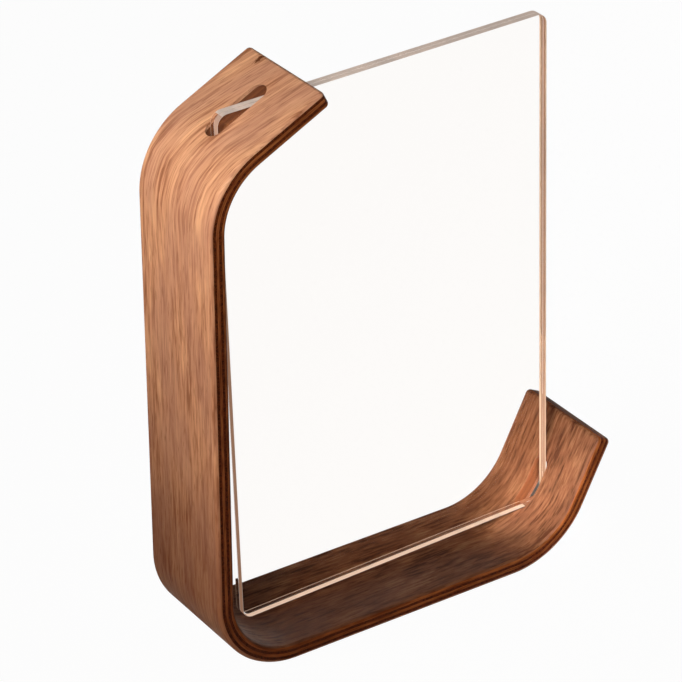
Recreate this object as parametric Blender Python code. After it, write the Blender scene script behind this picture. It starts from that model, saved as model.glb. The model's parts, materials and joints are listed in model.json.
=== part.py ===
"""Double-sided photo frame: a bent, laminated wood strip that holds two clear panes.

The strip is one C-shaped length of plywood: an upright leg, a base run and two
short ends that lean towards each other. Each end has a slot right through it,
and opposite corners of the two panes sit in the slots, so a print dropped
between the panes is seen from both sides.

Metres, +Z up. The origin is under the middle of the frame, on the surface it
stands on. +X runs along the base from the leg, and +Y points to the back.
"""

import math

import bmesh
import bpy
from mathutils import Vector

# Plies of the strip, from the outer face to the inner face
OUTER_VENEER = 0.00135
OUTER_CROSS_PLY = 0.00105
CENTRE_LONG_PLY = 0.00105
INNER_CROSS_PLY = 0.00105
INNER_LONG_PLY = 0.00105
INNER_VENEER = 0.00060
GLUE_LINE = 0.00005

# Outline of the strip
STRIP_WIDTH = 0.0450
BEND_RADIUS = 0.0285
TOP_END_RISE = math.radians(27.3)
RIGHT_END_RISE = math.radians(63.6)
TOP_TIP_MARGIN = 0.0029
RIGHT_TIP_MARGIN = 0.01825
TIP_CORNER_RADIUS = 0.0024
EDGE_ROUND = 0.0015

# Panes
PANE_WIDTH = 0.1332
PANE_HEIGHT = 0.1977
PANE_THICKNESS = 0.0021
PANE_CORNER_RADIUS = 0.0040
PANE_EDGE_BREAK = 0.00015
PANE_TILT = math.radians(1.7)
PRINT_GAP = 0.0002
PANE_TRAVEL = 0.0020

# How the panes sit in the strip
LEG_TO_PANE = 0.01509
BEND_TO_PANE = 0.00195
TOP_CORNER_RISE = 0.0053
RIGHT_CORNER_COVER = 0.00113
SLOT_CLEARANCE = 0.0003
SLOT_ROOM = 0.0003
TOP_SLOT_REACH = 0.0093

# Facets
BEND_STEP = math.radians(4.0)
EDGE_SEGMENTS = 4
CORNER_SEGMENTS = 6
SLOT_END_SEGMENTS = 10
SMOOTH_ANGLE = math.radians(35.0)
SQUARE_EDGE = math.radians(60.0)

# Allowance by which an untrimmed sheet runs past the strip
OVERRUN = 0.0020

# Points that a cut leaves closer than this are one point
MERGE_DISTANCE = 0.000008

# Name, thickness, display colour and roughness of each ply, from the outer face in
PLIES = (
    ("outer_face_veneer", OUTER_VENEER, (198, 143, 103), 0.42),
    ("outer_cross_ply", OUTER_CROSS_PLY, (88, 44, 18), 0.62),
    ("centre_long_ply", CENTRE_LONG_PLY, (130, 80, 48), 0.55),
    ("inner_cross_ply", INNER_CROSS_PLY, (84, 40, 16), 0.62),
    ("inner_long_ply", INNER_LONG_PLY, (126, 76, 45), 0.55),
    ("inner_face_veneer", INNER_VENEER, (172, 120, 86), 0.42),
)
PANE_COLOUR = (245, 240, 236)
PANE_ROUGHNESS = 0.03
PANE_ALPHA = 0.25

THICKNESS = sum(ply[1] for ply in PLIES) + GLUE_LINE * (len(PLIES) - 1)
OUTER = THICKNESS / 2.0
INNER = -THICKNESS / 2.0
INSIDE_RADIUS = BEND_RADIUS + INNER
SLOT_WIDTH = (2.0 * PANE_THICKNESS + PRINT_GAP + PANE_TRAVEL
              + 2.0 * (SLOT_CLEARANCE + SLOT_ROOM))
SLOT_RADIUS = SLOT_WIDTH / 2.0


def heading(angle):
    """Unit vector in the XZ plane, at an angle above +X."""
    return Vector((math.cos(angle), 0.0, math.sin(angle)))


class End:
    """One end of the strip: the root of its centreline, its directions and its bend."""

    def __init__(self, root, rise, side, turn):
        self.root = root
        self.along = heading(rise)
        self.outward = heading(rise + side * math.pi / 2.0)
        self.bend_end = BEND_RADIUS * math.tan(turn / 2.0)

    def at(self, distance, height):
        """Point on the end, from its distance along it and its height above the centreline."""
        return self.root + self.along * distance + self.outward * height

    def crossing(self, point, direction, height):
        """Distance along the end at which a line crosses the plane at a height."""
        climb = direction.dot(self.outward)
        step = (height - (point - self.root).dot(self.outward)) / climb
        return (point + direction * step - self.root).dot(self.along)

    def entry(self, point, direction):
        """Distance along the end at which a line meets the inner face, bent or straight."""
        straight = self.crossing(point, direction, INNER)
        if straight > self.bend_end:
            return straight
        centre = self.at(self.bend_end, -BEND_RADIUS)
        back = (point - centre).dot(direction)
        beyond = (point - centre).length_squared - INSIDE_RADIUS ** 2
        step = math.sqrt(back ** 2 - beyond) - back
        return (point + direction * step - self.root).dot(self.along)


class Layout:
    """Places that follow from the sizes, measured from the strip's square corner.

    The centrelines of the leg and the base meet at the square corner.
    """

    def __init__(self):
        across = heading(PANE_TILT)
        up = heading(PANE_TILT + math.pi / 2.0)

        # The round lower left corner of the panes clears the inside of the square bend
        arc_x = OUTER + LEG_TO_PANE + PANE_CORNER_RADIUS
        reach = INSIDE_RADIUS - PANE_CORNER_RADIUS - BEND_TO_PANE
        offset = max(BEND_RADIUS - arc_x, 0.0)
        arc_z = BEND_RADIUS - math.sqrt(reach ** 2 - offset ** 2)
        lower_left = Vector((arc_x, 0.0, arc_z)) - (across + up) * PANE_CORNER_RADIUS
        lower_right = lower_left + across * PANE_WIDTH
        upper_left = lower_left + up * PANE_HEIGHT
        self.pane_centre = lower_left + (across * PANE_WIDTH + up * PANE_HEIGHT) / 2.0

        # The leg is long enough for the upper left corner to stand out of the top end
        normal = heading(TOP_END_RISE + math.pi / 2.0)
        self.leg = upper_left.z - (OUTER + TOP_CORNER_RISE - upper_left.x * normal.x) / normal.z
        self.top = End(Vector((0.0, 0.0, self.leg)), TOP_END_RISE, 1.0,
                       math.pi / 2.0 - TOP_END_RISE)

        # The base is long enough for the right end to cover the lower right corner
        normal = heading(RIGHT_END_RISE - math.pi / 2.0)
        arc = lower_right + (up - across) * PANE_CORNER_RADIUS
        depth = OUTER - RIGHT_CORNER_COVER - PANE_CORNER_RADIUS
        self.base = arc.x - (depth - arc.z * normal.z) / normal.x
        self.right = End(Vector((self.base, 0.0, 0.0)), RIGHT_END_RISE, -1.0, RIGHT_END_RISE)

        # A round slot end meets the panes' faces a standoff in from its tip
        face = SLOT_RADIUS - SLOT_CLEARANCE - SLOT_ROOM
        standoff = SLOT_RADIUS - math.sqrt((SLOT_RADIUS - SLOT_CLEARANCE) ** 2 - face ** 2)

        # Near and far tip of each slot, on the outer and on the inner face
        self.top_slot = {
            OUTER: (self.top.crossing(upper_left, up, OUTER) - standoff,
                    self.top.crossing(upper_left, across, OUTER) + TOP_SLOT_REACH),
            INNER: (self.top.crossing(upper_left, up, INNER) - standoff,
                    self.top.crossing(upper_left, across, INNER) + standoff),
        }
        square_slot = (self.right.entry(lower_right, across) - standoff,
                       self.right.crossing(lower_right, up, INNER) + standoff)
        self.right_slot = {OUTER: square_slot, INNER: square_slot}

        self.top_length = self.top_slot[INNER][1] + TOP_TIP_MARGIN
        self.right_length = self.right_slot[INNER][1] + RIGHT_TIP_MARGIN

        # From the square corner to the point under the middle of the frame
        rounding = self.right.at(self.right_length - EDGE_ROUND, OUTER - EDGE_ROUND)
        middle = (rounding.x + EDGE_ROUND - OUTER) / 2.0
        self.placing = Vector((-middle, 0.0, OUTER))


def linear(display_colour):
    """Linear colour from 0 to 255 display values."""
    shares = [value / 255.0 for value in display_colour]
    return tuple(share / 12.92 if share <= 0.04045 else ((share + 0.055) / 1.055) ** 2.4
                 for share in shares)


def principled(name, display_colour, roughness, transmission=0.0, alpha=1.0):
    """Principled material with a colour, a roughness and how clear it is."""
    colour = linear(display_colour)
    material = bpy.data.materials.new(name)
    material.use_nodes = True
    shader = material.node_tree.nodes["Principled BSDF"]
    shader.inputs["Base Color"].default_value = (*colour, 1.0)
    shader.inputs["Roughness"].default_value = roughness
    shader.inputs["Metallic"].default_value = 0.0
    shader.inputs["Transmission Weight"].default_value = transmission
    shader.inputs["Alpha"].default_value = alpha
    material.diffuse_color = (*colour, alpha)
    return material


def new_object(name, bm, place):
    """Object from a finished bmesh, with its faces turned outwards."""
    bmesh.ops.recalc_face_normals(bm, faces=bm.faces[:])
    mesh = bpy.data.meshes.new(name)
    bm.to_mesh(mesh)
    bm.free()
    obj = bpy.data.objects.new(name, mesh)
    obj.location = place
    bpy.context.scene.collection.objects.link(obj)
    return obj


def new_guide(name, bm, place):
    """Object that shapes the pieces and is no piece itself."""
    guide = new_object(name, bm, place)
    guide.hide_render = True
    guide.display_type = "WIRE"
    return guide


def boolean(obj, other, operation):
    """Add an exact Boolean of another object."""
    modifier = obj.modifiers.new(other.name, "BOOLEAN")
    modifier.operation = operation
    modifier.solver = "EXACT"
    modifier.object = other


def finish(obj, material):
    """Apply an object's cuts and clean them, then shade it smooth between its true edges."""
    bpy.context.view_layer.update()
    evaluated = obj.evaluated_get(bpy.context.evaluated_depsgraph_get())
    bm = bmesh.new()
    bm.from_mesh(evaluated.to_mesh())
    evaluated.to_mesh_clear()
    obj.modifiers.clear()
    bmesh.ops.remove_doubles(bm, verts=bm.verts[:], dist=MERGE_DISTANCE)
    bmesh.ops.dissolve_degenerate(bm, edges=bm.edges[:], dist=MERGE_DISTANCE)
    mesh = obj.data
    bm.to_mesh(mesh)
    bm.free()
    mesh.materials.clear()
    mesh.materials.append(material)
    mesh.shade_smooth()
    mesh.set_sharp_from_angle(angle=SMOOTH_ANGLE)
    normals = obj.modifiers.new("Even shading", "WEIGHTED_NORMAL")
    normals.keep_sharp = True


def whole(face):
    """A face with its edges and vertices, so an extrusion leaves no wall inside."""
    return [face, *face.edges, *face.verts]


def extrude(bm, face, move):
    """Extrude a face straight, and give the face at the far end."""
    made = bmesh.ops.extrude_face_region(bm, geom=whole(face))["geom"]
    bmesh.ops.translate(bm, verts=[v for v in made if isinstance(v, bmesh.types.BMVert)], vec=move)
    return next(f for f in made if isinstance(f, bmesh.types.BMFace))


def bend(bm, face, centre, turn):
    """Spin a face round a bend, and give the face at the far end."""
    made = bmesh.ops.spin(bm, geom=whole(face), cent=centre, axis=(0.0, 1.0, 0.0),
                          dvec=(0.0, 0.0, 0.0), angle=turn, steps=math.ceil(turn / BEND_STEP),
                          use_merge=False, use_normal_flip=False, use_duplicate=False)
    return next(f for f in made["geom_last"] if isinstance(f, bmesh.types.BMFace))


def swept_sheet(layout, outer, inner, half_width, overrun):
    """Sheet between two heights above the strip's centreline, and the faces at its tips."""
    place = layout.right.at(layout.right_length + overrun, 0.0)
    out = layout.right.outward
    bm = bmesh.new()
    section = ((outer, -half_width), (outer, half_width), (inner, half_width), (inner, -half_width))
    first = bm.faces.new([bm.verts.new(place + out * height + Vector((0.0, y, 0.0)))
                          for height, y in section])

    # Straight runs and the bends after them, from the right tip to the top tip
    runs = (
        (layout.right_length + overrun - layout.right.bend_end, RIGHT_END_RISE),
        (layout.base - layout.right.bend_end - BEND_RADIUS, math.pi / 2.0),
        (layout.leg - BEND_RADIUS - layout.top.bend_end, math.pi / 2.0 - TOP_END_RISE),
    )
    face = first
    angle = RIGHT_END_RISE + math.pi
    for length, turn in runs:
        face = extrude(bm, face, heading(angle) * length)
        place = place + heading(angle) * length
        centre = place + heading(angle - math.pi / 2.0) * BEND_RADIUS
        face = bend(bm, face, centre, turn)
        angle -= turn
        place = centre + heading(angle + math.pi / 2.0) * BEND_RADIUS
    last = extrude(bm, face, layout.top.along * (layout.top_length + overrun - layout.top.bend_end))
    return bm, (first, last)


def round_edges(bm, edges, radius, segments):
    """Bevel edges to a round of a radius."""
    bmesh.ops.bevel(bm, geom=edges, offset=radius, offset_type="OFFSET", segments=segments,
                    profile=0.5, affect="EDGES", clamp_overlap=True, material=-1)


def square_edges(bm):
    """Edges at which two faces meet about squarely."""
    return [edge for edge in bm.edges if edge.calc_face_angle() > SQUARE_EDGE]


def slot_outline(bm, end, height, near, far):
    """Vertices of a round-ended slot, at a height above an end's centreline."""
    verts = []
    for centre, start in ((far - SLOT_RADIUS, -math.pi / 2.0), (near + SLOT_RADIUS, math.pi / 2.0)):
        for step in range(SLOT_END_SEGMENTS + 1):
            angle = start + math.pi * step / SLOT_END_SEGMENTS
            place = end.at(centre + SLOT_RADIUS * math.cos(angle), height)
            verts.append(bm.verts.new(place + Vector((0.0, SLOT_RADIUS * math.sin(angle), 0.0))))
    return verts


def slot_cutter(name, layout, end, slot):
    """Guide that cuts a round-ended slot, bridged between its outlines on both faces."""
    bm = bmesh.new()
    edges = []
    for height in (OUTER + THICKNESS, INNER - THICKNESS):
        share = (height - INNER) / (OUTER - INNER)
        near, far = (slot[INNER][tip] + (slot[OUTER][tip] - slot[INNER][tip]) * share
                     for tip in (0, 1))
        outline = bm.faces.new(slot_outline(bm, end, height, near, far))
        edges.extend(outline.edges)
    bmesh.ops.bridge_loops(bm, edges=edges)
    return new_guide(name, bm, layout.placing)


def strip_envelope(layout):
    """Guide in the strip's full shape, with round tips, round edges and both slots."""
    bm, tips = swept_sheet(layout, OUTER, INNER, STRIP_WIDTH / 2.0, 0.0)
    bmesh.ops.recalc_face_normals(bm, faces=bm.faces[:])
    corners = [edge for tip in tips for edge in tip.edges
               if edge.calc_length() < STRIP_WIDTH / 2.0]
    round_edges(bm, corners, TIP_CORNER_RADIUS, CORNER_SEGMENTS)
    round_edges(bm, square_edges(bm), EDGE_ROUND, EDGE_SEGMENTS)
    envelope = new_guide("strip_envelope", bm, layout.placing)
    boolean(envelope, slot_cutter("top_slot", layout, layout.top, layout.top_slot), "DIFFERENCE")
    boolean(envelope, slot_cutter("right_slot", layout, layout.right, layout.right_slot),
            "DIFFERENCE")
    return envelope


def build_plies(layout, envelope):
    """One sheet for each ply, trimmed to the strip's shape."""
    height = OUTER
    for name, thickness, colour, roughness in PLIES:
        outer = height + (OVERRUN if height == OUTER else 0.0)
        inner = height - thickness - (OVERRUN if name == PLIES[-1][0] else 0.0)
        bm = swept_sheet(layout, outer, inner, STRIP_WIDTH / 2.0 + OVERRUN, OVERRUN)[0]
        ply = new_object(name, bm, layout.placing)
        boolean(ply, envelope, "INTERSECT")
        finish(ply, principled(name, colour, roughness))
        height -= thickness + GLUE_LINE


def build_pane(name, layout, front):
    """Clear pane with round corners and broken edges, and its front face at a depth."""
    bm = bmesh.new()
    right, top, back = PANE_WIDTH / 2.0, PANE_HEIGHT / 2.0, PANE_THICKNESS / 2.0
    face = bm.faces.new([bm.verts.new((x, -back, z))
                         for x, z in ((-right, -top), (right, -top), (right, top), (-right, top))])
    extrude(bm, face, Vector((0.0, PANE_THICKNESS, 0.0)))
    corners = [edge for edge in bm.edges
               if abs(edge.verts[0].co.y - edge.verts[1].co.y) > back]
    round_edges(bm, corners, PANE_CORNER_RADIUS, CORNER_SEGMENTS)
    bmesh.ops.recalc_face_normals(bm, faces=bm.faces[:])
    round_edges(bm, square_edges(bm), PANE_EDGE_BREAK, 1)
    centre = layout.placing + layout.pane_centre + Vector((0.0, front + back, 0.0))
    pane = new_object(name, bm, centre)
    pane.rotation_euler = (0.0, -PANE_TILT, 0.0)
    finish(pane, principled(name, PANE_COLOUR, PANE_ROUGHNESS, 1.0, PANE_ALPHA))


def main():
    """Build the strip's plies and both panes."""
    for obj in list(bpy.data.objects):
        bpy.data.objects.remove(obj, do_unlink=True)

    layout = Layout()
    build_plies(layout, strip_envelope(layout))

    # The panes stand together near the front walls of the slots
    front = SLOT_CLEARANCE + SLOT_ROOM - SLOT_RADIUS
    build_pane("front_pane", layout, front)
    build_pane("rear_pane", layout, front + PANE_THICKNESS + PRINT_GAP)


main()
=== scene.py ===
"""Looks of a double-sided photo frame: a bent walnut strip that holds two clear panes.

Each ply of the strip and each pane is modelled again in its own place, with finer
bends, eased slots and a finish of its own. Lengths are metres, and +Z is up.
"""

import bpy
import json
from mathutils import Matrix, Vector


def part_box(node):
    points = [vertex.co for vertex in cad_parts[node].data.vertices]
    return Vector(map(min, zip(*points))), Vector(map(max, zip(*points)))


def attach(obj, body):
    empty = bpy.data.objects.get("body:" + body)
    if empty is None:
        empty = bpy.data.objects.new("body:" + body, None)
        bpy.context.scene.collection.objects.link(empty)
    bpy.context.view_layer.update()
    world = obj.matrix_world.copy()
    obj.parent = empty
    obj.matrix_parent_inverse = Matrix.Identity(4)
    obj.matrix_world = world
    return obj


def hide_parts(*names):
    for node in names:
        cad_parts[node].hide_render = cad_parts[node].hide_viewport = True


bl_info = {
    "name": "Bent Walnut Photo Frame",
    "version": (1, 0, 0),
    "blender": (4, 5, 0),
    "location": "View3D > Sidebar > Photo Frame",
    "description": "Builds a bent plywood photo frame with two clear panes and its stage",
    "category": "Add Mesh",
}

import json
import math

import bmesh
import bpy
from bpy.props import FloatProperty, FloatVectorProperty, IntProperty, PointerProperty
from mathutils import Matrix, Vector

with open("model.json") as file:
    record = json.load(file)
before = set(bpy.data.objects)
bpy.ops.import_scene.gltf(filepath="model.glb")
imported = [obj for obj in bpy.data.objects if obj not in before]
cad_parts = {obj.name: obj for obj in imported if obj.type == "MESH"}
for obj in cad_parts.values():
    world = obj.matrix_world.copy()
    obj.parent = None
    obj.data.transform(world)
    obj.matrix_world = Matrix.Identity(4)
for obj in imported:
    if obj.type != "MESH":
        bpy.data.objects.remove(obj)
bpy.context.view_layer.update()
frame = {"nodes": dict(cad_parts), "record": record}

PLIES = ("outer_face_veneer", "outer_cross_ply", "centre_long_ply",
         "inner_cross_ply", "inner_long_ply", "inner_face_veneer")
CROSS_PLIES = ("outer_cross_ply", "inner_cross_ply")
LONG_PLIES = ("centre_long_ply", "inner_long_ply")
PANES = ("front_pane", "rear_pane")
# Attribute of the plies' points: length along the strip, place across it and depth
PLACE = "strip_place"

# Size of each lamp, the point that it faces, the bearing and height angle in degrees and
# the distance of the lamp from there, its spread in degrees and its colour in 0 to 255
# display values
LAMPS = {
    "key": (0.06, (-0.06, 0.0, 0.17), 173.0, 57.0, 0.28, 180.0, (255, 249, 241)),
    "left": (0.12, (-0.05, 0.0, 0.15), 180.0, 30.0, 0.45, 50.0, (255, 255, 255)),
    "front": (0.12, (-0.05, 0.0, 0.20), 230.0, 25.0, 0.45, 30.0, (243, 251, 255)),
    "side": (0.15, (-0.06, 0.0, 0.17), 215.0, 12.0, 0.45, 180.0, (255, 206, 160)),
    "end": (0.08, (0.07, 0.0, 0.045), 215.0, 6.0, 0.60, 18.0, (255, 249, 243)),
    "bend": (0.02, (0.066, 0.0, 0.012), 250.0, 50.0, 0.45, 7.0, (255, 249, 243)),
    "fill": (0.30, (0.00, 0.0, 0.08), 20.0, 10.0, 0.60, 180.0, (255, 249, 243)),
}

# Each layer of the grain: how many times as long and as wide as a usual streak its marks
# are, the detail and the seed of its noise, and the range of the noise that shows
GRAIN_LAYERS = {
    "Patches": (3.5, 14.0, 1.0, 23.0, 0.35, 0.65),
    "Mottle": (3.0, 5.0, 2.0, 0.0, 0.30, 0.70),
    "Streaks": (1.6, 1.3, 2.0, 7.3, 0.28, 0.72),
    "Fibres": (0.5, 0.45, 2.0, 3.1, 0.25, 0.75),
    "Lines": (3.0, 0.7, 1.0, 11.1, 0.56, 0.72),
    "Pores": (0.45, 0.40, 0.0, 5.7, 0.62, 0.80),
}

# Places of a pane's materials in its list
CLEAR, LEVEL, RIGHT, LEFT, IN_SLOT = range(5)
WHITE = (1.0, 1.0, 1.0, 1.0)

# Y of the print between the panes
PANES_MIDDLE = (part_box(PANES[0])[1].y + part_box(PANES[1])[0].y) / 2.0
# Distances from there at which the outer margin of a sawn side starts and is full
MARGIN = (0.0010, 0.0016)
# Distances from the strip's middle line at which the painted light on a slot's wall starts to
# fade and ends
WALL_FADE = (0.0045, 0.0060)
# Points closer than this are on the same face, or are one point
NEAR = 0.00001
# No ply lies deeper under the outer face than this
DEEPEST = 0.012
# Room by which a ply's sheet runs past the strip's own shape, which trims it
OVERRUN = 0.002
# Edges at which two faces meet more sharply than this are rounded
SQUARE_EDGE = math.radians(60.0)
# Edges at which two faces meet more sharply than this show as sharp
SMOOTH_ANGLE = math.radians(35.0)
# Steps in the eased rims of the slots, and in the broken edges of the panes
EASE_SEGMENTS = 3
BREAK_SEGMENTS = 2


def linear(red, green, blue):
    """Linear colour from 0 to 255 display values."""
    shares = [value / 255.0 for value in (red, green, blue)]
    return tuple(share / 12.92 if share <= 0.04045 else ((share + 0.055) / 1.055) ** 2.4
                 for share in shares)


def opaque(colour):
    """Colour with full alpha."""
    return (*colour, 1.0)


def size_prop(name, description, default):
    """Length that a user may change."""
    return FloatProperty(name=name, description=description, default=default, min=0.0,
                         precision=5, unit="LENGTH", subtype="DISTANCE")


def angle_prop(name, description, degrees):
    """Angle that a user may change."""
    return FloatProperty(name=name, description=description, default=math.radians(degrees),
                         unit="ROTATION", subtype="ANGLE")


def number_prop(name, description, default, top=1.0):
    """Plain number from 0 up that a user may change."""
    return FloatProperty(name=name, description=description, default=default, min=0.0, max=top)


def colour_prop(name, description, default):
    """Colour that a user may change, given in 0 to 255 display values."""
    return FloatVectorProperty(name=name, description=description, default=linear(*default),
                               subtype="COLOR", size=3, min=0.0, max=1.0)


class StripSettings(bpy.types.PropertyGroup):
    """Sizes and colours of the bent strip."""

    top_rise: angle_prop("Top end rise", "Slope of the short end over the leg", 27.3)
    right_rise: angle_prop("Right end rise", "Slope of the short end past the base", 63.6)
    right_radius: size_prop("Right radius", "Outer radius of the bend under the right end", 0.0345)
    tip_corner: size_prop("Tip corner", "Corner radius of both tips, seen flat on", 0.0018)
    edge_round: size_prop("Edge round", "Radius on the strip's edges", 0.0015)
    slot_ease: size_prop("Slot ease", "Radius on the rims of the slots", 0.00035)
    bend_step: angle_prop("Bend step", "Turn between two sections of a bend", 2.0)
    round_segments: IntProperty(name="Round segments", description="Steps in each edge round",
                                default=6, min=2, max=12)
    slot_segments: IntProperty(name="Slot segments", description="Steps in each slot end",
                               default=24, min=6, max=64)
    outer_light: colour_prop("Outer light", "Pale fibres of the outer veneer", (218, 164, 122))
    outer_middle: colour_prop("Outer middle", "Main colour of the outer veneer", (194, 138, 102))
    outer_dark: colour_prop("Outer dark", "Dark fibres of the outer veneer", (146, 92, 62))
    # Painted shade: the outer veneer is blended towards this colour down at the leg's foot, where less
    # light falls
    outer_foot_shade: colour_prop("Outer foot", "Outer veneer down at the leg's foot", (112, 60, 30))
    foot_top: size_prop("Foot top", "Height at which the foot's colour starts", 0.105)
    foot_full: size_prop("Foot full", "Height from which down it is at its strongest", 0.030)
    foot_share: number_prop("Foot share", "Share of the foot's colour there", 0.50)
    outer_heart: colour_prop("Outer heart", "Pinkish patches of the outer veneer", (170, 120, 98))
    inner_light: colour_prop("Inner light", "Pale fibres of the inner veneer", (170, 120, 86))
    inner_middle: colour_prop("Inner middle", "Main colour of the inner veneer", (135, 88, 61))
    inner_dark: colour_prop("Inner dark", "Dark fibres of the inner veneer", (76, 38, 20))
    inner_heart: colour_prop("Inner heart", "Dull patches of the inner veneer", (120, 76, 54))
    pore_colour: colour_prop("Pores", "Open pores and fine lines of both veneers", (92, 46, 20))
    cross_light: colour_prop("Cross light", "Paler end grain of the cross plies", (100, 44, 14))
    cross_dark: colour_prop("Cross dark", "Darker end grain of the cross plies", (52, 18, 4))
    long_light: colour_prop("Long light", "Paler fibres of the long plies", (158, 90, 46))
    long_dark: colour_prop("Long dark", "Darker fibres of the long plies", (104, 50, 20))
    # Painted light: the slots' walls are lightened towards this colour in place of light that they lack
    wall_painted_light: colour_prop("Slot wall", "Painted light on the walls of the slots", (126, 76, 50))
    lean: number_prop("Grain lean", "Lean of the outer grain to the front on the top end", 0.22)
    fleck_inset: size_prop("Fleck inset", "Distance of the dark fleck from the top tip", 0.0022)
    fleck_aside: size_prop("Fleck aside", "Distance of the fleck from the middle line", 0.0128)
    sheen: number_prop("Sheen", "Strength of the oiled surface's reflections", 0.15)


class PaneSettings(bpy.types.PropertyGroup):
    """Sizes and colours of the clear panes."""

    tilt: angle_prop("Tilt", "Turn of the panes from upright", 1.7)
    corner: size_prop("Corner", "Radius of the panes' corners", 0.0040)
    edge_break: size_prop("Edge break", "Width of the broken edges", 0.00015)
    corner_segments: IntProperty(name="Corner segments", description="Steps in each corner",
                                 default=12, min=2, max=32)
    tint: colour_prop("Tint", "Colour of the clear sheet", (255, 254, 253))
    # Painted light and shade: Edge Outside, Edge Inside, Edge Right and Edge Left are lighter and
    # darker copies of one frosted finish, by the side that they are seen from
    edge_outside: colour_prop("Edge outside", "Sawn sides, seen from outside", (206, 188, 176))
    edge_shaded: colour_prop("Edge shaded", "Sawn sides, as they take the lamps' light", (112, 100, 92))
    edge_inside: colour_prop("Edge inside", "Sawn sides, seen through the sheet", (236, 200, 174))
    edge_right: colour_prop("Edge right", "Right sides, seen through the sheet", (176, 134, 108))
    edge_rim: colour_prop("Edge rim", "Outer margins of the right sides", (222, 198, 172))
    # Painted shade: the panes' sawn corners inside the right slot are darkened to this colour
    edge_slot_shade: colour_prop("Edge in slot", "Lower right corners, inside the slot", (128, 84, 60))
    edge_left: colour_prop("Edge left", "Left side of the front pane", (176, 132, 106))
    slot_reach: size_prop("Slot reach", "Length of the lower sides inside the right slot", 0.0095)
    # Painted glow: Glow and Low Glow scale the emission of the sawn sides, which are no lamps
    glow: number_prop("Glow", "Light that the sheet leads to its sawn sides", 0.60)
    low_glow: number_prop("Low glow", "Glow of the level sides, seen through the sheet", 0.80)
    bend_of_light: number_prop("Bend of light", "Refraction of the clear sheet", 1.06, 2.5)
    sheen: number_prop("Sheen", "Strength of the panes' reflections", 0.30)


class StageSettings(bpy.types.PropertyGroup):
    """Floor, lamps and camera."""

    aim: FloatVectorProperty(name="Aim", description="Point that the camera looks at",
                             default=(-0.01868, 0.0, 0.10666), size=3, subtype="XYZ",
                             unit="LENGTH")
    yaw: angle_prop("Yaw", "Turn of the camera to the right of +Y", 33.684)
    pitch: angle_prop("Pitch", "Turn of the camera below level", 29.223)
    roll: angle_prop("Roll", "Turn of the camera about its view", -0.310)
    distance: size_prop("Distance", "From the camera to its aim", 1.15762)
    lens: FloatProperty(name="Lens", description="Focal length on a 36 mm sensor",
                        default=176.635, unit="CAMERA")
    floor_colour: colour_prop("Floor", "Colour of the floor", (235, 235, 235))
    floor_radius: size_prop("Floor radius", "Radius of the round floor", 12.0)
    key_power: number_prop("Key", "Watts of the lamp above the top end", 0.045, 50.0)
    left_power: number_prop("Left", "Watts of the lamp up at the left", 0.107, 50.0)
    front_power: number_prop("Front", "Watts of the lamp up at the front left", 0.065, 50.0)
    side_power: number_prop("Side", "Watts of the low warm lamp at the front left", 0.44, 50.0)
    end_power: number_prop("End", "Watts of the low lamp aimed at the right end", 0.037, 50.0)
    bend_power: number_prop("Bend", "Watts of the high lamp aimed at the right bend", 0.008, 50.0)
    fill_power: number_prop("Fill", "Watts of the broad lamp behind at the right", 0.70, 50.0)
    ambient: number_prop("Ambient", "Strength of the even light from all round", 0.03, 5.0)
    slot_shade: FloatVectorProperty(name="Slot shade", size=3, subtype="XYZ", unit="LENGTH",
                                    description="Middle of the shaded floor under the right slot",
                                    default=(0.089, 0.025, 0.0))
    shade_radius: size_prop("Shade radius", "Radius of that shaded floor", 0.012)
    shade_margin: size_prop("Shade margin", "Soft margin round it", 0.004)
    shadow_share: number_prop("Shadow", "How much of its shadows the floor shows", 0.03)


def heading(angle):
    """Unit vector in the XZ plane, at an angle above +X."""
    return Vector((math.cos(angle), 0.0, math.sin(angle)))


def points_of(node):
    """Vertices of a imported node."""
    return [vertex.co.copy() for vertex in frame["nodes"][node].data.vertices]


class End:
    """One short end of the strip, placed by the root of its outer face."""

    def __init__(self, root, rise, side, turn, radius):
        self.root = root
        self.along = heading(rise)
        self.outward = heading(rise + side * math.pi / 2.0)
        self.bend_end = radius * math.tan(turn / 2.0)

    def at(self, distance, y, depth):
        """Point at a distance along the end, a place across it and a depth under its face."""
        return self.root + self.along * distance - self.outward * depth + Vector((0.0, y, 0.0))

    def local(self, point):
        """Distance along the end, place across it and depth under its outer face."""
        step = point - self.root
        return Vector((step.dot(self.along), point.y, -step.dot(self.outward)))

    def near(self, points):
        """Local places of the points that belong to this end or its bend."""
        places = [self.local(point) for point in points]
        return [p for p in places if p.x > 0.0 and -NEAR < p.z < DEEPEST]


class Slot:
    """Round-ended slot through an end, measured at the tips of its walls."""

    def __init__(self, end, half_width):
        self.end = end
        outer = [p for p in end.near(points_of(PLIES[0])) if abs(p.y) < half_width / 2.0]
        inner = [p for p in end.near(points_of(PLIES[-1])) if abs(p.y) < half_width / 2.0]
        self.radius = max(abs(p.y) for p in outer)
        middle = sum(p.x for p in outer) / len(outer)
        self.walls = []
        for side in (-1.0, 1.0):
            high, low = ([p for p in group if abs(p.y) < NEAR and (p.x - middle) * side > 0.0]
                         for group in (outer, inner))
            self.walls.append((min(high, key=lambda p: p.z), max(low, key=lambda p: p.z)))

    def tips(self, depth):
        """Distances of the near and the far tip at a depth."""
        return [high.x + (low.x - high.x) * (depth - high.z) / (low.z - high.z)
                for high, low in self.walls]

    def outline(self, bm, depth, segments):
        """Vertices round the slot at a depth."""
        near, far = self.tips(depth)
        verts = []
        for centre, start in ((far - self.radius, -math.pi / 2.0),
                              (near + self.radius, math.pi / 2.0)):
            for step in range(segments + 1):
                angle = start + math.pi * step / segments
                verts.append(bm.verts.new(self.end.at(centre + self.radius * math.cos(angle),
                                                      self.radius * math.sin(angle), depth)))
        return verts


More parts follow.
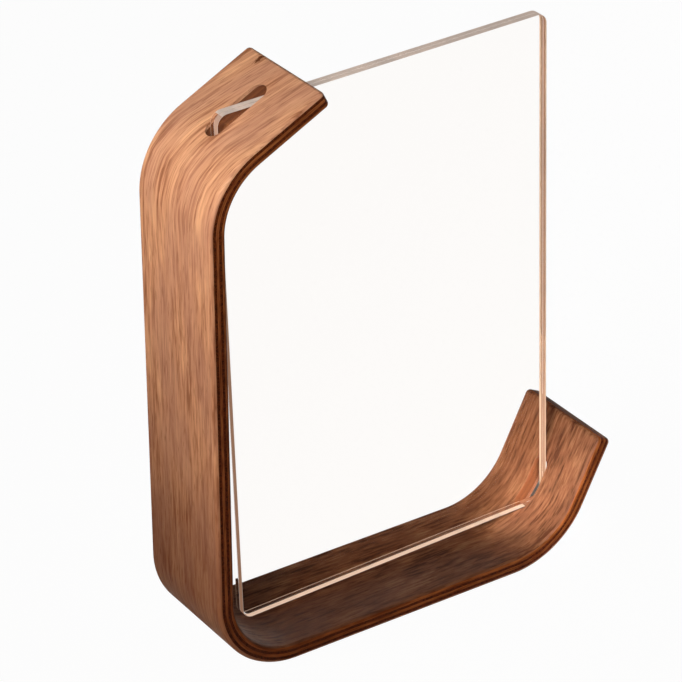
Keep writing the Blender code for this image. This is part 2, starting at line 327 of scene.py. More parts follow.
class Strip:
    """Shape of the bent strip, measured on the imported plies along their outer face."""

    def __init__(self, settings):
        face = points_of(PLIES[0])
        core = points_of(PLIES[1])
        leg_x = min(point.x for point in face)
        self.half_width = max(point.y for point in core)
        self.right_rise = settings.right_rise

        # The outer faces of both ends meet the lines of the leg's and the base's
        top_normal = heading(settings.top_rise + math.pi / 2.0)
        right_normal = heading(settings.right_rise - math.pi / 2.0)
        top_reach = max(point.dot(top_normal) for point in face)
        top_z = (top_reach - leg_x * top_normal.x) / top_normal.z
        right_x = max(point.dot(right_normal) for point in face) / right_normal.x

        # The leg is flat as far as its upper bend, which gives the radius of the bends
        top_turn = math.pi / 2.0 - settings.top_rise
        flat = max(point.z for point in face if point.x < leg_x + NEAR)
        self.radius = (top_z - flat) / math.tan(top_turn / 2.0)

        self.top = End(Vector((leg_x, 0.0, top_z)), settings.top_rise, 1.0, top_turn, self.radius)
        self.right = End(Vector((right_x, 0.0, 0.0)), settings.right_rise, -1.0,
                         settings.right_rise, settings.right_radius)
        self.top_length = max(p.x for p in self.top.near(core)) - NEAR
        self.right_length = max(p.x for p in self.right.near(core)) - NEAR
        self.slots = [Slot(end, self.half_width) for end in (self.top, self.right)]
        self.depths = {name: self.depths_of(name) for name in PLIES}
        self.thickness = self.depths[PLIES[-1]][1]

        # Straight runs, and the turn and radius of the bends after them, from the right
        # tip to the top tip
        self.runs = (
            (self.right_length - self.right.bend_end, settings.right_rise, settings.right_radius),
            (right_x - leg_x - self.right.bend_end - self.radius, math.pi / 2.0, self.radius),
            (top_z - self.radius - self.top.bend_end, top_turn, self.radius),
            (self.top_length - self.top.bend_end, 0.0, self.radius),
        )
        self.total = sum(length + self.arc(turn, radius) for length, turn, radius in self.runs)

    def arc(self, turn, radius):
        """Length of a bend along the middle of the strip's thickness."""
        return turn * (radius - self.thickness / 2.0)

    def depths_of(self, name):
        """Depths of a ply's outer and inner face under the strip's outer face."""
        flat = [p.z for p in self.top.near(points_of(name)) if p.x > self.top.bend_end - NEAR]
        return min(flat), max(flat)

    def place(self, point):
        """Length along the strip from its right tip, place across it and depth of a point."""
        start = self.right.at(self.right_length, 0.0, 0.0)
        angle = self.right_rise + math.pi
        passed = 0.0
        for length, turn, radius in self.runs:
            forward, inward = heading(angle), heading(angle - math.pi / 2.0)
            step = point - start
            ahead, depth = step.dot(forward), step.dot(inward)
            beside = -DEEPEST < depth < DEEPEST
            if beside and (ahead <= length or turn == 0.0):
                return Vector((passed + ahead, point.y, depth))
            centre = start + forward * length + inward * radius
            spoke = point - centre
            spoke.y = 0.0
            swing = angle + math.pi / 2.0 - math.atan2(spoke.z, spoke.x)
            swing = (swing + math.pi) % (2.0 * math.pi) - math.pi
            depth = radius - spoke.length
            if -DEEPEST < depth < DEEPEST and -NEAR <= swing <= turn + NEAR:
                return Vector((passed + length + self.arc(swing, radius), point.y, depth))
            passed += length + self.arc(turn, radius)
            angle -= turn
            start = centre + heading(angle + math.pi / 2.0) * radius
        raise ValueError("point %s lies off the strip" % point)


def link(obj):
    """Put an object in the scene."""
    bpy.context.scene.collection.objects.link(obj)
    return obj


def temporary(name, bm):
    """Object that only shapes others and is removed after use."""
    bmesh.ops.recalc_face_normals(bm, faces=bm.faces[:])
    mesh = bpy.data.meshes.new(name)
    bm.to_mesh(mesh)
    bm.free()
    return link(bpy.data.objects.new(name, mesh))


def remove(obj):
    """Delete a temporary object and its mesh."""
    mesh = obj.data
    bpy.data.objects.remove(obj)
    bpy.data.meshes.remove(mesh)


def cut(bm, other, operation):
    """Bmesh left by a Boolean of a bmesh with another object, cleaned of doubled points."""
    obj = temporary("blank", bm)
    modifier = obj.modifiers.new(operation, "BOOLEAN")
    modifier.operation = operation
    modifier.solver = "MANIFOLD"
    modifier.object = other
    bpy.context.view_layer.update()
    evaluated = obj.evaluated_get(bpy.context.evaluated_depsgraph_get())
    result = bmesh.new()
    result.from_mesh(evaluated.to_mesh())
    evaluated.to_mesh_clear()
    remove(obj)
    bmesh.ops.remove_doubles(result, verts=result.verts[:], dist=NEAR)
    bmesh.ops.dissolve_degenerate(result, edges=result.edges[:], dist=NEAR)
    return result


def whole(face):
    """A face with its edges and vertices, so an extrusion leaves no wall inside."""
    return [face, *face.edges, *face.verts]


def extrude(bm, face, move):
    """Extrude a face straight, and give the face at the far end."""
    made = bmesh.ops.extrude_face_region(bm, geom=whole(face))["geom"]
    bmesh.ops.translate(bm, verts=[v for v in made if isinstance(v, bmesh.types.BMVert)], vec=move)
    return next(f for f in made if isinstance(f, bmesh.types.BMFace))


def bend(bm, face, centre, turn, step):
    """Spin a face round a bend, and give the face at the far end."""
    made = bmesh.ops.spin(bm, geom=whole(face), cent=centre, axis=(0.0, 1.0, 0.0),
                          dvec=(0.0, 0.0, 0.0), angle=turn, steps=math.ceil(turn / step),
                          use_merge=False, use_normal_flip=False, use_duplicate=False)
    return next(f for f in made["geom_last"] if isinstance(f, bmesh.types.BMFace))


def swept_sheet(strip, outer, inner, half_width, overrun, step):
    """Sheet between two depths along the strip, and the faces at its tips."""
    bm = bmesh.new()
    tip = strip.right_length + overrun
    first = bm.faces.new([bm.verts.new(strip.right.at(tip, y, depth)) for y, depth in
                          ((-half_width, outer), (half_width, outer),
                           (half_width, inner), (-half_width, inner))])
    face = first
    place = strip.right.at(tip, 0.0, 0.0)
    angle = strip.right_rise + math.pi
    for index, (length, turn, radius) in enumerate(strip.runs):
        if index in (0, len(strip.runs) - 1):
            length += overrun
        face = extrude(bm, face, heading(angle) * length)
        if turn:
            place = place + heading(angle) * length
            centre = place + heading(angle - math.pi / 2.0) * radius
            face = bend(bm, face, centre, turn, step)
            angle -= turn
            place = centre + heading(angle + math.pi / 2.0) * radius
    return bm, (first, face)


def round_edges(bm, edges, radius, segments):
    """Bevel edges to a round of a radius."""
    bmesh.ops.bevel(bm, geom=edges, offset=radius, offset_type="OFFSET", segments=segments,
                    profile=0.5, affect="EDGES", clamp_overlap=True, material=-1)


def square_edges(edges):
    """Those edges at which two faces meet about squarely."""
    return [edge for edge in edges if edge.calc_face_angle(0.0) > SQUARE_EDGE]


def slot_cutter(slot, strip, segments):
    """Temporary object that cuts a slot, bridged between two of its outlines."""
    bm = bmesh.new()
    edges = []
    # From well outside the outer face to well past the inner one
    for depth in (-strip.thickness, strip.radius / 2.0):
        outline = bm.faces.new(slot.outline(bm, depth, segments))
        edges.extend(outline.edges)
    bmesh.ops.bridge_loops(bm, edges=edges)
    return temporary("slot_cutter", bm)


def strip_envelope(strip, settings):
    """Temporary object in the strip's full shape, with rounded edges and eased slots."""
    bm, tips = swept_sheet(strip, 0.0, strip.thickness, strip.half_width, 0.0,
                           settings.bend_step)
    bmesh.ops.recalc_face_normals(bm, faces=bm.faces[:])
    corners = [edge for tip in tips for edge in tip.edges
               if edge.calc_length() < strip.half_width]
    round_edges(bm, corners, settings.tip_corner, settings.round_segments)
    round_edges(bm, square_edges(bm.edges), settings.edge_round, settings.round_segments)
    for slot in strip.slots:
        cutter = slot_cutter(slot, strip, settings.slot_segments)
        bm = cut(bm, cutter, "DIFFERENCE")
        remove(cutter)
    bm.normal_update()
    inside = [edge for edge in bm.edges
              if max(abs(vert.co.y) for vert in edge.verts) < strip.half_width / 2.0]
    round_edges(bm, square_edges(inside), settings.slot_ease, EASE_SEGMENTS)
    return temporary("strip_envelope", bm)


def add_piece(name, bm, materials, body):
    """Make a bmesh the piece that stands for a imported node."""
    mesh = bpy.data.meshes.new(name)
    bm.to_mesh(mesh)
    bm.free()
    for material in materials:
        mesh.materials.append(material)
    mesh.shade_smooth()
    mesh.set_sharp_from_angle(angle=SMOOTH_ANGLE)
    piece = link(bpy.data.objects.new(name + "_dressed", mesh))
    normals = piece.modifiers.new("Even shading", "WEIGHTED_NORMAL")
    normals.keep_sharp = True
    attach(piece, body)
    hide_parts(name)


def add_ply(strip, settings, envelope, name, material):
    """Add a ply in its packed place, which knows its place on the strip at each point."""
    outer, inner = strip.depths[name]
    outer -= OVERRUN if name == PLIES[0] else 0.0
    inner += OVERRUN if name == PLIES[-1] else 0.0
    bm = swept_sheet(strip, outer, inner, strip.half_width + OVERRUN, OVERRUN,
                     settings.bend_step)[0]
    bm = cut(bm, envelope, "INTERSECT")
    layer = bm.verts.layers.float_vector.new(PLACE)
    for vert in bm.verts:
        vert[layer] = strip.place(vert.co)
    add_piece(name, bm, [material], "strip")


def pane_surface(face, rear, slot_start):
    """Which material a face of an upright pane has.

    The rear pane's left and lower sides are polished like its faces, but not in the slot.
    """
    normal = face.normal
    # A face that looks down only a little is still part of the rounded lower corner
    in_slot = normal.z < -0.05 and face.calc_center_median().x > slot_start
    polished = rear and min(normal.x, normal.z) < -0.5 and not in_slot
    if polished or abs(normal.y) > 1.0 - NEAR:
        return CLEAR
    # Faces inside the slot take the painted shade
    if in_slot:
        return IN_SLOT
    if abs(normal.x) > 0.5:
        return RIGHT if normal.x > 0.0 else LEFT
    return LEVEL


def add_pane(name, settings, materials):
    """Add a pane in its packed place, with round corners, broken edges and sawn sides."""
    turn = Matrix.Rotation(-settings.tilt, 4, "Y")
    local = [turn.inverted() @ point for point in points_of(name)]
    low = Vector([min(point[axis] for point in local) for axis in range(3)])
    high = Vector([max(point[axis] for point in local) for axis in range(3)])
    bm = bmesh.new()
    bmesh.ops.create_cube(bm, size=1.0)
    bmesh.ops.scale(bm, verts=bm.verts[:], vec=high - low)
    upright = [edge for edge in bm.edges
               if abs(edge.verts[0].co.y - edge.verts[1].co.y) > NEAR]
    round_edges(bm, upright, settings.corner, settings.corner_segments)
    round_edges(bm, square_edges(bm.edges), settings.edge_break, BREAK_SEGMENTS)
    bmesh.ops.recalc_face_normals(bm, faces=bm.faces[:])
    slot_start = (high - low).x / 2.0 - settings.slot_reach
    bmesh.ops.bisect_plane(bm, geom=bm.faces[:] + bm.edges[:] + bm.verts[:],
                           plane_co=(slot_start, 0.0, 0.0), plane_no=(1.0, 0.0, 0.0))
    for face in bm.faces:
        face.material_index = pane_surface(face, name == PANES[1], slot_start)
    bmesh.ops.translate(bm, verts=bm.verts[:], vec=(low + high) / 2.0)
    bmesh.ops.transform(bm, matrix=turn, verts=bm.verts[:])
    body = next(body for body, nodes in frame["record"]["behaviour"]["bodies"].items()
                if name in nodes)
    add_piece(name, bm, materials, body)


class Nodes:
    """Adds nodes to a shader tree, each with its inputs linked or set."""

    def __init__(self, tree):
        self.tree = tree

    def add(self, kind, *values, **settings):
        """Node of a kind, its inputs in order and its own settings by name."""
        node = self.tree.nodes.new("ShaderNode" + kind)
        for name, value in settings.items():
            setattr(node, name, value)
        for socket, value in zip(node.inputs, values):
            self.put(socket, value)
        return node

    def put(self, socket, value):
        """Link an input to another node's output, or set it to a plain value."""
        if isinstance(value, bpy.types.NodeSocket):
            self.tree.links.new(value, socket)
        elif value is not None:
            socket.default_value = value

    def feed(self, node, values):
        """Link or set some of a node's inputs, by their names."""
        for name, value in values.items():
            self.put(node.inputs[name], value)

    def maths(self, operation, *values, clamp=False):
        """Result of a plain calculation."""
        return self.add("Math", *values, operation=operation, use_clamp=clamp).outputs[0]

    def mixture(self, outputs, shares):
        """Sum of some outputs, each times its share."""
        total = 0.0
        for name, share in shares.items():
            total = self.maths("MULTIPLY_ADD", outputs[name], share, total)
        return total

    def times(self, vector, factors):
        """Vector with each part multiplied."""
        return self.add("VectorMath", vector, factors, operation="MULTIPLY").outputs[0]

    def split(self, vector):
        """The three parts of a vector."""
        return self.add("SeparateXYZ", vector).outputs

    def joined(self, x, y, z):
        """Vector of three parts."""
        return self.add("CombineXYZ", x, y, z).outputs[0]

    def noise(self, vector, scale=1.0, detail=2.0, roughness=0.5):
        """Soft noise from 0 to 1."""
        return self.add("TexNoise", vector, None, scale, detail, roughness).outputs[0]

    def spread(self, value, low, high, to_low=0.0, to_high=1.0):
        """Value eased from one range into another, and kept inside it."""
        return self.add("MapRange", value, low, high, to_low, to_high,
                        interpolation_type="SMOOTHSTEP").outputs[0]

    def blend(self, factor, first, second):
        """Colour between two colours, or the one that both are."""
        if first == second:
            return first
        # The node's colours are its inputs 6 and 7 and its output 2
        node = self.add("Mix", data_type="RGBA")
        for index, value in ((0, factor), (6, first), (7, second)):
            self.put(node.inputs[index], value)
        return node.outputs[2]

    def group(self, tree, **values):
        """Outputs of a node group placed with its own values."""
        node = self.add("Group", node_tree=tree)
        self.feed(node, {name.replace("_", " ").title(): value for name, value in values.items()})
        return node.outputs

    def bump(self, shader, strength, distance, height):
        """Bump the shader's surface by a height."""
        node = self.add("Bump", strength, distance)
        self.put(node.inputs["Height"], height)
        self.put(shader.inputs["Normal"], node.outputs[0])


def new_group(name, inputs, outputs):
    """Node group's nodes, way in and way out.

    An input with no value of its own is a vector, and all else is a plain number.
    """
    tree = bpy.data.node_groups.new(name, "ShaderNodeTree")
    for socket_name, value in inputs.items():
        kind = "NodeSocketVector" if value is None else "NodeSocketFloat"
        socket = tree.interface.new_socket(name=socket_name, in_out="INPUT", socket_type=kind)
        if value is not None:
            socket.default_value = value
    for socket_name in outputs:
        tree.interface.new_socket(name=socket_name, in_out="OUTPUT", socket_type="NodeSocketFloat")
    way_in = tree.nodes.new("NodeGroupInput")
    way_out = tree.nodes.new("NodeGroupOutput")
    return Nodes(tree), way_in.outputs, way_out.inputs


def fibre_group():
    """Straight-grained wood, its fibres along the first part of Grain Place."""
    nodes, given, made = new_group(
        "Wood fibres",
        {"Grain Place": None, "Length": 0.010, "Width": 0.0009, "Wander": 0.002, "Seed": 0.0},
        (*GRAIN_LAYERS, "Height"))
    along, across, deep = nodes.split(given["Grain Place"])

    # The fibres wander a little to the side, in waves counted per metre
    slow = nodes.joined(nodes.maths("MULTIPLY", along, 22.0),
                        nodes.maths("MULTIPLY", across, 40.0), given["Seed"])
    drift = nodes.maths("SUBTRACT", nodes.noise(slow), 0.5)
    side = nodes.maths("MULTIPLY_ADD", drift, given["Wander"], across)

    noises, shown = {}, {}
    for name, (longer, wider, detail, seed, low, high) in GRAIN_LAYERS.items():
        length = nodes.maths("MULTIPLY", given["Length"], longer)
        width = nodes.maths("MULTIPLY", given["Width"], wider)
        place = nodes.joined(nodes.maths("DIVIDE", along, length),
                             nodes.maths("DIVIDE", side, width),
                             nodes.maths("ADD", nodes.maths("DIVIDE", deep, width),
                                         nodes.maths("ADD", given["Seed"], seed)))
        noises[name] = nodes.noise(place, detail=detail, roughness=0.6)
        shown[name] = nodes.spread(noises[name], low, high)
        nodes.put(made[name], shown[name])
    ridges = nodes.maths("MULTIPLY", noises["Fibres"], 0.5)
    nodes.put(made["Height"], nodes.maths("SUBTRACT", ridges, shown["Pores"]))
    return nodes.tree


def edge_darkening_group():
    """Mask of the strip's long edges and the faces near them, where the veneer is darker."""
    nodes, given, made = new_group(
        "Edge wear", {"Grain Place": None, "Half Width": 0.0225, "Reach": 0.0024}, ("Mask",))
    across = nodes.split(given["Grain Place"])["Y"]
    inset = nodes.maths("SUBTRACT", given["Half Width"], nodes.maths("ABSOLUTE", across))
    uneven = nodes.noise(nodes.times(given["Grain Place"], (80.0, 700.0, 700.0)), detail=3.0)
    reach = nodes.maths("MULTIPLY", given["Reach"], nodes.maths("ADD", uneven, 0.4))
    far = nodes.maths("DIVIDE", inset, reach, clamp=True)
    nodes.put(made["Mask"], nodes.maths("SUBTRACT", 1.0, far, clamp=True))
    return nodes.tree


def fleck_group():
    """Mask of a ragged dark fleck in the grain, round a point of the strip."""
    nodes, given, made = new_group(
        "Dark fleck",
        {"Grain Place": None, "Middle": None, "Length": 0.003, "Width": 0.0012}, ("Mask",))
    step = nodes.add("VectorMath", given["Grain Place"], given["Middle"],
                     operation="SUBTRACT").outputs[0]
    parts = nodes.split(step)
    ragged = nodes.noise(nodes.times(given["Grain Place"], (900.0, 2600.0, 0.0)))
    oval = nodes.joined(nodes.maths("DIVIDE", parts["X"], given["Length"]),
                        nodes.maths("DIVIDE", parts["Y"], given["Width"]), 0.0)
    far = nodes.add("VectorMath", oval, operation="LENGTH").outputs["Value"]
    ragged_far = nodes.maths("MULTIPLY_ADD", ragged, 1.6, far)
    nodes.put(made["Mask"], nodes.spread(ragged_far, 1.9, 1.2))
    return nodes.tree


def gloss_group():
    """Faint uneven gloss, as rubbed oil and wiping leave it."""
    nodes, given, made = new_group("Rubbed gloss", {"Place": None, "Patch Size": 0.02}, ("Gloss",))
    scale = nodes.maths("DIVIDE", 1.0, given["Patch Size"])
    patches = nodes.noise(given["Place"], scale, detail=3.0, roughness=0.6)
    nodes.put(made["Gloss"], nodes.spread(patches, 0.30, 0.70))
    return nodes.tree


def new_material(name):
    """Material with its nodes, its shader and its way out."""
    material = bpy.data.materials.new(name)
    material.use_nodes = True
    tree = material.node_tree
    return material, Nodes(tree), tree.nodes["Principled BSDF"], tree.nodes["Material Output"]


def strip_place(nodes):
    """Length along the strip, place across it and depth, as the plies know them."""
    return nodes.add("Attribute", attribute_name=PLACE).outputs["Vector"]


def own_place(nodes):
    """Place of a point at rest, as each piece's object stands at the origin."""
    return nodes.add("TexCoord").outputs["Object"]


def leaning(nodes, place, start, lean):
    """Place with the grain leaning to the front edge past a length along the strip."""
    along, across, deep = nodes.split(place)
    past = nodes.maths("MAXIMUM", nodes.maths("SUBTRACT", along, start), 0.0)
    return nodes.joined(along, nodes.maths("MULTIPLY_ADD", past, lean, across), deep)


def face_material(side, settings, groups, strip, seed, length):
    """Oiled walnut veneer: patchy, with short dark and pale fibres and open pores."""
    material, nodes, shader, _ = new_material(side + "_walnut_face")
    dark, middle, light, heart = (opaque(getattr(settings, side + "_" + part))
                                  for part in ("dark", "middle", "light", "heart"))
    pore_colour = opaque(settings.pore_colour)
    place = strip_place(nodes)
    end_start = strip.total - strip.runs[-1][0] - strip.radius / 2.0
    grain_place = leaning(nodes, place, end_start, settings.lean)
    grain = nodes.group(groups["fibres"], grain_place=grain_place, seed=seed, length=length)
    edge_darkening = nodes.group(groups["edge_darkening"], grain_place=place, half_width=strip.half_width)["Mask"]
    fleck = nodes.group(groups["fleck"], grain_place=place,
                        middle=(strip.total - settings.fleck_inset, settings.fleck_aside, 0.0))
    gloss = nodes.group(groups["gloss"], place=place)["Gloss"]

    tone = nodes.mixture(grain, {"Streaks": 0.50, "Fibres": 0.15, "Mottle": 0.35})
    colour = nodes.blend(nodes.spread(tone, 0.12, 0.52), dark, middle)
    colour = nodes.blend(nodes.spread(tone, 0.45, 0.92), colour, light)
    for marks, share, mark_colour in (("Patches", 0.45, heart), ("Lines", 0.35, pore_colour),
                                      ("Pores", 0.40, pore_colour)):
        colour = nodes.blend(nodes.maths("MULTIPLY", grain[marks], share), colour, mark_colour)
    # Painted shade: the outer face grows darker towards the floor, in place of the light's falloff down
    # the leg
    if side == "outer":
        height = nodes.split(own_place(nodes))["Z"]
        foot = nodes.spread(height, settings.foot_top, settings.foot_full, 0.0, settings.foot_share)
        colour = nodes.blend(foot, colour, opaque(settings.outer_foot_shade))
    # The faces are darker near the strip's long edges
    colour = nodes.blend(nodes.maths("MULTIPLY", edge_darkening, 0.20), colour, dark)
    colour = nodes.blend(fleck["Mask"], colour, pore_colour)

    rough = nodes.maths("MULTIPLY_ADD", grain["Pores"], 0.2,
                        nodes.spread(gloss, 0.0, 1.0, 0.38, 0.50))
    nodes.feed(shader, {"Base Color": colour, "Roughness": rough,
                        "Specular IOR Level": settings.sheen})
    nodes.bump(shader, 0.5, 0.00006, grain["Height"])
    return material


def ply_material(kind, settings, groups, turned, seed):
    """Ply edge: fibres along the strip, or turned across it so that the edge is end grain."""
    material, nodes, shader, _ = new_material(kind + "_ply_edge")
    light, dark = (opaque(getattr(settings, kind + part)) for part in ("_light", "_dark"))
    place = strip_place(nodes)
    along, across, deep = nodes.split(place)
    # Mask of the painted light on the slots' walls, near the strip's middle line
    wall = nodes.spread(nodes.maths("ABSOLUTE", across), *WALL_FADE, 0.75, 0.0)
    if turned:
        place = nodes.joined(across, along, deep)
    grain = nodes.group(groups["fibres"], grain_place=place, width=0.0006, wander=0.0006, seed=seed)
    tone = nodes.mixture(grain, {"Streaks": 0.5, "Fibres": 0.5})
    colour = nodes.blend(nodes.spread(tone, 0.15, 0.85), dark, light)
    colour = nodes.blend(nodes.maths("MULTIPLY", grain["Pores"], 0.5), colour, dark)
    colour = nodes.blend(wall, colour, opaque(settings.wall_painted_light))
    nodes.feed(shader, {"Base Color": colour, "Specular IOR Level": settings.sheen * 0.7,
                        "Roughness": nodes.spread(grain["Streaks"], 0.0, 1.0, 0.62, 0.50)})
    nodes.bump(shader, 0.6, 0.00005, grain["Height"])
    return material


def lets_lamps_through(nodes, shader, output):
    """Mix a clear shader in for shadow rays, so that a pane casts no dark shadow."""
    path = nodes.add("LightPath").outputs
    clear = nodes.add("BsdfTransparent").outputs[0]
    mix = nodes.add("MixShader", path["Is Shadow Ray"], shader.outputs[0], clear)
    nodes.put(output.inputs["Surface"], mix.outputs[0])


def sheet_material(settings, groups):
    """Clear polished sheet, with faint wiping marks in its gloss."""
    material, nodes, shader, output = new_material("clear_sheet")
    wiped = nodes.times(own_place(nodes), (1.0, 1.0, 2.5))
    gloss = nodes.group(groups["gloss"], place=wiped, patch_size=0.03)["Gloss"]
    nodes.feed(shader, {"Base Color": opaque(settings.tint), "Transmission Weight": 1.0,
                        "Roughness": nodes.spread(gloss, 0.0, 1.0, 0.0, 0.003),
                        "IOR": settings.bend_of_light, "Specular IOR Level": settings.sheen})
    lets_lamps_through(nodes, shader, output)
    return material


def sawn_material(name, settings, outside, inside, lit=None, rim=None):
    """Sawn and frosted side of the clear sheet, with a painted glow in place of the light it leads.

    Outside and inside hold the colour and the painted glow that show from outside and through
    the sheet, copies of one finish painted lighter or darker by the side that it is seen from.
    Lit is another colour that takes the lamps' light, from both, and rim is the colour of the
    margins farthest from the print.
    """
    material, nodes, shader, _ = new_material(name)
    place = own_place(nodes)
    marks = nodes.noise(nodes.times(place, (2600.0, 300.0, 2600.0)))
    within = nodes.add("NewGeometry").outputs["Backfacing"]
    cloud = nodes.spread(nodes.noise(place, 160.0), 0.3, 0.7, 0.0, 0.25)
    colour = opaque(lit) if lit else nodes.blend(within, opaque(outside[0]), opaque(inside[0]))
    colour = nodes.blend(cloud, colour, opaque(inside[0]))
    if rim:
        off_middle = nodes.maths("SUBTRACT", nodes.split(place)["Y"], PANES_MIDDLE)
        margin = nodes.spread(nodes.maths("ABSOLUTE", off_middle), *MARGIN)
        colour = nodes.blend(margin, colour, opaque(rim))
    # Painted glow of the sawn side, from outside and through the sheet
    glows = [opaque(share * strength for share in shown) for shown, strength in (outside, inside)]
    nodes.feed(shader, {"Base Color": colour, "Emission Color": nodes.blend(within, *glows),
                        "Emission Strength": 1.0, "Specular IOR Level": settings.sheen,
                        "Roughness": nodes.spread(marks, 0.3, 0.7, 0.35, 0.55)})
    nodes.bump(shader, 0.4, 0.00002, marks)
    return material


def shows_white(nodes):
    """1 for rays that meet white surroundings: seen, through the panes or mirrored."""
    path = nodes.add("LightPath").outputs
    mirrored = nodes.maths("MINIMUM", path["Is Glossy Ray"], path["Is Singular Ray"])
    seen = nodes.maths("MAXIMUM", path["Is Camera Ray"], mirrored)
    seen = nodes.maths("MAXIMUM", seen, path["Is Transmission Ray"])
    return nodes.maths("MULTIPLY", seen, nodes.maths("LESS_THAN", path["Diffuse Depth"], 0.5))


def floor_material(settings):
    """Pale floor that meets the camera as white and keeps a share of its shadows.

    Under the right slot it keeps all its shade where it is seen through the panes.
    """
    material, nodes, shader, output = new_material("pale_floor")
    place = own_place(nodes)
    mottle = nodes.maths("MULTIPLY", nodes.noise(place, 9.0, 3.0), 0.1)
    nodes.feed(shader, {"Base Color": nodes.blend(mottle, opaque(settings.floor_colour), WHITE),
                        "Roughness": 0.9, "Specular IOR Level": 0.0})
    from_slot = nodes.add("VectorMath", place, tuple(settings.slot_shade),
                          operation="DISTANCE").outputs["Value"]
    under = nodes.spread(from_slot, settings.shade_radius,
                         settings.shade_radius + settings.shade_margin, 1.0, 0.0)
    shaded = nodes.maths("MULTIPLY", under, nodes.add("LightPath").outputs["Is Transmission Ray"])
    share = nodes.maths("MULTIPLY", shows_white(nodes), 1.0 - settings.shadow_share)
    share = nodes.maths("MULTIPLY", share, nodes.maths("SUBTRACT", 1.0, shaded))
    white = nodes.add("Emission", WHITE, 1.0).outputs[0]
    mix = nodes.add("MixShader", share, shader.outputs[0], white)
    nodes.put(output.inputs["Surface"], mix.outputs[0])
    return material


def grain_groups():
    """The node groups that the materials share, each built once."""
    made = bpy.context.scene.get("photo_frame_groups")
    if made is None:
        trees = {"fibres": fibre_group(), "edge_darkening": edge_darkening_group(), "fleck": fleck_group(),
                 "gloss": gloss_group()}
        bpy.context.scene["photo_frame_groups"] = {key: tree.name for key, tree in trees.items()}
        return trees
    return {key: bpy.data.node_groups[name] for key, name in made.items()}


def add_lamp(name, power, size, target, azimuth, elevation, distance, spread, colour):
    """Square soft lamp that faces a point from a direction round it, in degrees."""
    lamp = bpy.data.lights.new(name, "AREA")
    lamp.energy = power
    lamp.size = size
    lamp.spread = math.radians(spread)
    lamp.color = linear(*colour)
    obj = link(bpy.data.objects.new(name, lamp))
    way = heading(math.radians(elevation))
    way.rotate(Matrix.Rotation(math.radians(azimuth), 3, "Z"))
    obj.location = Vector(target) + way * distance
    obj.rotation_mode = "QUATERNION"
    obj.rotation_quaternion = way.to_track_quat("Z", "Y")


def add_floor(settings):
    """Round floor just under the strip."""
    bm = bmesh.new()
    bmesh.ops.create_circle(bm, cap_ends=True, segments=64, radius=settings.floor_radius)
    bmesh.ops.translate(bm, verts=bm.verts[:], vec=(0.0, 0.0, -NEAR))
    mesh = bpy.data.meshes.new("floor")
    bm.to_mesh(mesh)
    bm.free()
    mesh.materials.append(floor_material(settings))
    link(bpy.data.objects.new("floor", mesh))


def add_surroundings(settings):
    """World that shows as white and lights the object faintly from all round."""
    world = bpy.data.worlds.new("white_surroundings")
    bpy.context.scene.world = world
    world.use_nodes = True
    nodes = Nodes(world.node_tree)
    strength = nodes.add("MapRange", shows_white(nodes), 0.0, 1.0, settings.ambient, 1.0)
    nodes.feed(world.node_tree.nodes["Background"],
               {"Color": WHITE, "Strength": strength.outputs[0]})


def add_camera(settings):
    """Camera that looks at the aim from the photograph's angle."""
    camera = bpy.data.cameras.new("camera")
    camera.lens = settings.lens
    obj = link(bpy.data.objects.new("camera", camera))
    turn = (Matrix.Rotation(-settings.yaw, 4, "Z")
            @ Matrix.Rotation(math.pi / 2.0 - settings.pitch, 4, "X")
            @ Matrix.Rotation(settings.roll, 4, "Z"))
    forward = turn.to_3x3() @ Vector((0.0, 0.0, -1.0))
    place = Vector(settings.aim) - forward * settings.distance
    obj.matrix_world = Matrix.Translation(place) @ turn
    bpy.context.scene.camera = obj


class PHOTOFRAME_OT_plies(bpy.types.Operator):
    """Model the six plies of the bent strip and finish them in walnut"""

    bl_idname = "photoframe.plies"
    bl_label = "Bent Plies"

    def execute(self, context):
        settings = context.scene.photo_frame_strip
        groups = grain_groups()
        strip = Strip(settings)
        envelope = strip_envelope(strip, settings)
        for name, side, seed, length in ((PLIES[0], "outer", 4.0, 0.010),
                                         (PLIES[-1], "inner", 9.0, 0.006)):
            material = face_material(side, settings, groups, strip, seed, length)
            add_ply(strip, settings, envelope, name, material)
        for kind, names, turned, seed in (("cross", CROSS_PLIES, True, 2.0),
                                          ("long", LONG_PLIES, False, 6.0)):
            material = ply_material(kind, settings, groups, turned, seed)
            for name in names:
                add_ply(strip, settings, envelope, name, material)
        remove(envelope)
        return {"FINISHED"}


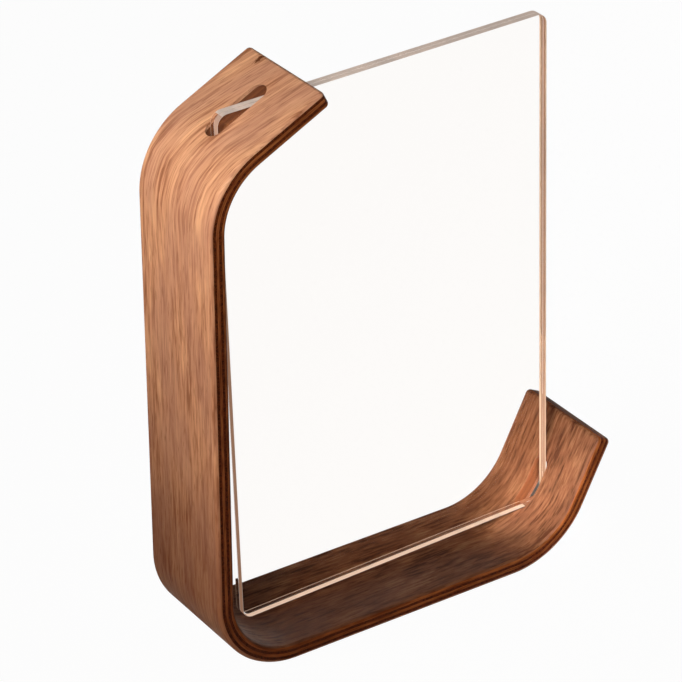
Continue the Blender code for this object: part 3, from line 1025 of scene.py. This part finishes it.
class PHOTOFRAME_OT_panes(bpy.types.Operator):
    """Model both clear panes with round corners and sawn edges"""

    bl_idname = "photoframe.panes"
    bl_label = "Clear Panes"

    def execute(self, context):
        settings = context.scene.photo_frame_panes
        groups = grain_groups()
        glow = settings.glow
        outside = (settings.edge_outside, glow)
        left = (settings.edge_left, glow)
        # The order is that of CLEAR, LEVEL, RIGHT, LEFT and IN_SLOT
        materials = [
            sheet_material(settings, groups),
            sawn_material("sawn_level_sides", settings, outside,
                          (settings.edge_inside, settings.low_glow), lit=settings.edge_shaded),
            sawn_material("sawn_right_sides", settings, outside, (settings.edge_right, 0.0),
                          rim=settings.edge_rim),
            sawn_material("sawn_left_side", settings, left, left, lit=settings.edge_shaded),
            # Painted shade inside the right slot
            sawn_material("sawn_in_slot", settings, (settings.edge_slot_shade, 0.0),
                          (settings.edge_slot_shade, glow))]
        for name in PANES:
            add_pane(name, settings, materials)
        return {"FINISHED"}


class PHOTOFRAME_OT_stage(bpy.types.Operator):
    """Set up the pale floor, the white surroundings, the lamps and the camera"""

    bl_idname = "photoframe.stage"
    bl_label = "Stage"

    def execute(self, context):
        settings = context.scene.photo_frame_stage
        add_floor(settings)
        add_surroundings(settings)
        for name, lamp in LAMPS.items():
            add_lamp(name + "_lamp", getattr(settings, name + "_power"), *lamp)
        add_camera(settings)
        context.scene.view_settings.view_transform = "Standard"
        return {"FINISHED"}


class PHOTOFRAME_PT_panel(bpy.types.Panel):
    """Settings and steps of the photo frame"""

    bl_idname = "PHOTOFRAME_PT_panel"
    bl_label = "Photo Frame"
    bl_space_type = "VIEW_3D"
    bl_region_type = "UI"
    bl_category = "Photo Frame"

    def draw(self, context):
        for operator, name, _ in STEPS:
            box = self.layout.box()
            box.operator(operator.bl_idname)
            settings = getattr(context.scene, name)
            for prop in settings.bl_rna.properties:
                if prop.identifier not in ("rna_type", "name"):
                    box.prop(settings, prop.identifier)


STEPS = (
    (PHOTOFRAME_OT_stage, "photo_frame_stage", StageSettings),
    (PHOTOFRAME_OT_plies, "photo_frame_strip", StripSettings),
    (PHOTOFRAME_OT_panes, "photo_frame_panes", PaneSettings),
)


def register():
    """Register the settings, the operators and the panel."""
    for operator, name, group in STEPS:
        bpy.utils.register_class(group)
        setattr(bpy.types.Scene, name, PointerProperty(type=group))
        bpy.utils.register_class(operator)
    bpy.utils.register_class(PHOTOFRAME_PT_panel)


def unregister():
    """Take everything that register added out again."""
    bpy.utils.unregister_class(PHOTOFRAME_PT_panel)
    for operator, name, group in reversed(STEPS):
        bpy.utils.unregister_class(operator)
        delattr(bpy.types.Scene, name)
        bpy.utils.unregister_class(group)


def main():
    """Build the stage, the plies and the panes."""
    register()
    bpy.ops.photoframe.stage()
    bpy.ops.photoframe.plies()
    bpy.ops.photoframe.panes()


if __name__ == "__main__":
    main()
